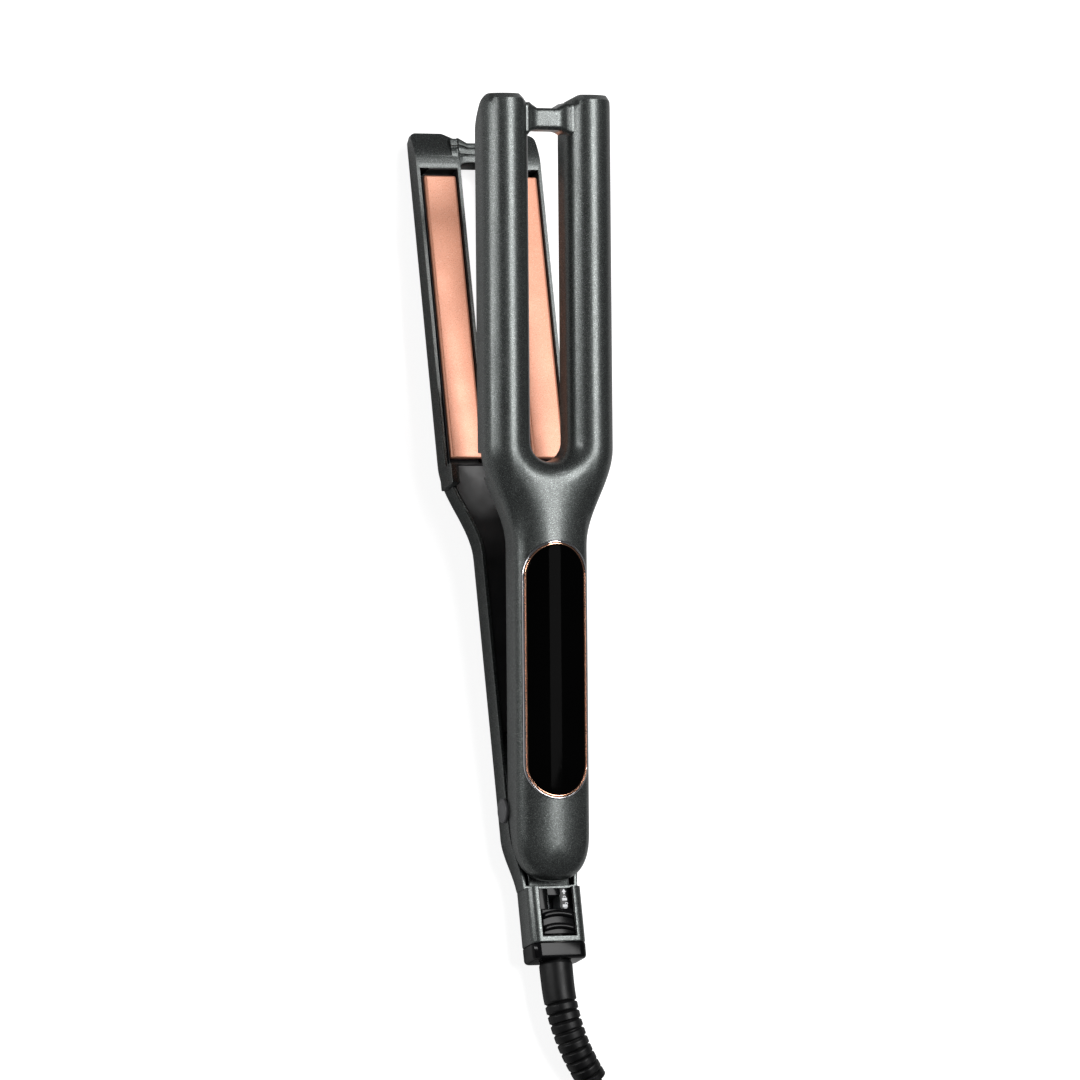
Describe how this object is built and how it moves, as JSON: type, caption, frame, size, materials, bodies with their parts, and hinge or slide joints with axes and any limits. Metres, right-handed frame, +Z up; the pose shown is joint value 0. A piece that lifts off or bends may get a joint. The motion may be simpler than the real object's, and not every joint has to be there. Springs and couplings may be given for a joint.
{
  "type": "hair straightener",
  "caption": "Dual-plate hair straightener with two forked arms on a spring hinge, a lock slider, a display and a mains cord tied in a hank.",
  "frame": {"origin": "middle of the tool's footprint on the surface that it lies on, measured without the cord", "axes": "+Y from the cord to the tips, +Z up away from the surface, +X to the right seen from above with the tips ahead"},
  "size_m": [0.057, 0.573, 0.0872],
  "materials": {
    "shell_paint": "fine metallic charcoal paint, semi-gloss",
    "black_plastic": "fine matte",
    "grey_plastic": "satin",
    "gloss_black": "high gloss",
    "display_gloss": "high gloss",
    "bezel_chrome": "polished",
    "accent_metal": "rose gold, polished",
    "plate_coating": "copper ceramic coating, satin",
    "heater_ceramic": "matte",
    "silicone": "matte",
    "wire": "satin",
    "nylon": "satin",
    "circuit_board": "satin",
    "screw_steel": "plated",
    "spring_steel": "drawn wire",
    "blade_brass": "satin",
    "cord_rubber": "satin"
  },
  "bodies": {
    "lower_arm": {"lower_shell": "shell_paint", "alignment_ears": "shell_paint", "lower_handle_cover": "black_plastic", "lower_cover_screws": "screw_steel", "lower_plate_holder_left": "black_plastic", "lower_plate_holder_right": "black_plastic", "lower_float_pads": "silicone", "lower_wiring": "wire", "hinge_pin": "screw_steel", "hinge_caps": "grey_plastic", "hinge_bushes": "nylon", "opening_spring": "spring_steel", "neck_housing": "shell_paint", "neck_end_cap": "gloss_black", "neck_screws": "screw_steel", "swivel_bush": "nylon", "lock_detent_spring": "spring_steel", "cord_boot": "cord_rubber", "cord_lead": "cord_rubber", "cord_hank": "cord_rubber", "cord_tail": "cord_rubber", "cord_tie": "cord_rubber", "plug_body": "cord_rubber", "plug_blades": "blade_brass"},
    "lower_left_plate": {"lower_plate_left": "plate_coating", "lower_heater_left": "heater_ceramic", "thermal_fuse": "screw_steel"},
    "lower_right_plate": {"lower_plate_right": "plate_coating", "lower_heater_right": "heater_ceramic"},
    "lock": {"lock_slider": "gloss_black", "lock_bar": "screw_steel"},
    "upper_arm": {"upper_shell": "shell_paint", "upper_handle_cover": "black_plastic", "upper_cover_screws": "screw_steel", "upper_plate_holder_left": "black_plastic", "upper_plate_holder_right": "black_plastic", "upper_float_pads": "silicone", "upper_wiring": "wire", "hinge_yoke": "screw_steel", "yoke_screws": "screw_steel", "lock_catch": "screw_steel", "display_lens": "display_gloss", "display_bezel": "bezel_chrome", "display_accent_ring": "accent_metal", "display_frame": "black_plastic", "display_module": "gloss_black", "control_board": "circuit_board", "board_components": "black_plastic"},
    "upper_left_plate": {"upper_plate_left": "plate_coating", "upper_heater_left": "heater_ceramic", "thermistor": "heater_ceramic"},
    "upper_right_plate": {"upper_plate_right": "plate_coating", "upper_heater_right": "heater_ceramic"}
  },
  "joints": [
    {"name": "arm_hinge", "type": "hinge", "parent": "lower_arm", "child": "upper_arm", "pos_m": [0, -0.0945, 0.0125], "axis": [1, 0, 0], "range_deg": [-14, 0], "stiffness_Nm_per_rad": 0.95, "springref_deg": 17.19, "deforming": ["opening_spring"]},
    {"name": "lock_slide", "type": "slide", "parent": "lower_arm", "child": "lock", "axis": [0, 1, 0], "range_m": [0, 0.007]},
    {"name": "lower_left_float", "type": "slide", "parent": "lower_arm", "child": "lower_left_plate", "axis": [0, 0, -1], "range_m": [0, 0.0008], "stiffness_N_per_m": 1500, "springref_m": -0.002},
    {"name": "lower_right_float", "type": "slide", "parent": "lower_arm", "child": "lower_right_plate", "axis": [0, 0, -1], "range_m": [0, 0.0008], "stiffness_N_per_m": 1500, "springref_m": -0.002},
    {"name": "upper_left_float", "type": "slide", "parent": "upper_arm", "child": "upper_left_plate", "axis": [0, -0.2419, 0.9703], "range_m": [0, 0.0008], "stiffness_N_per_m": 1500, "springref_m": -0.002},
    {"name": "upper_right_float", "type": "slide", "parent": "upper_arm", "child": "upper_right_plate", "axis": [0, -0.2419, 0.9703], "range_m": [0, 0.0008], "stiffness_N_per_m": 1500, "springref_m": -0.002}
  ]
}
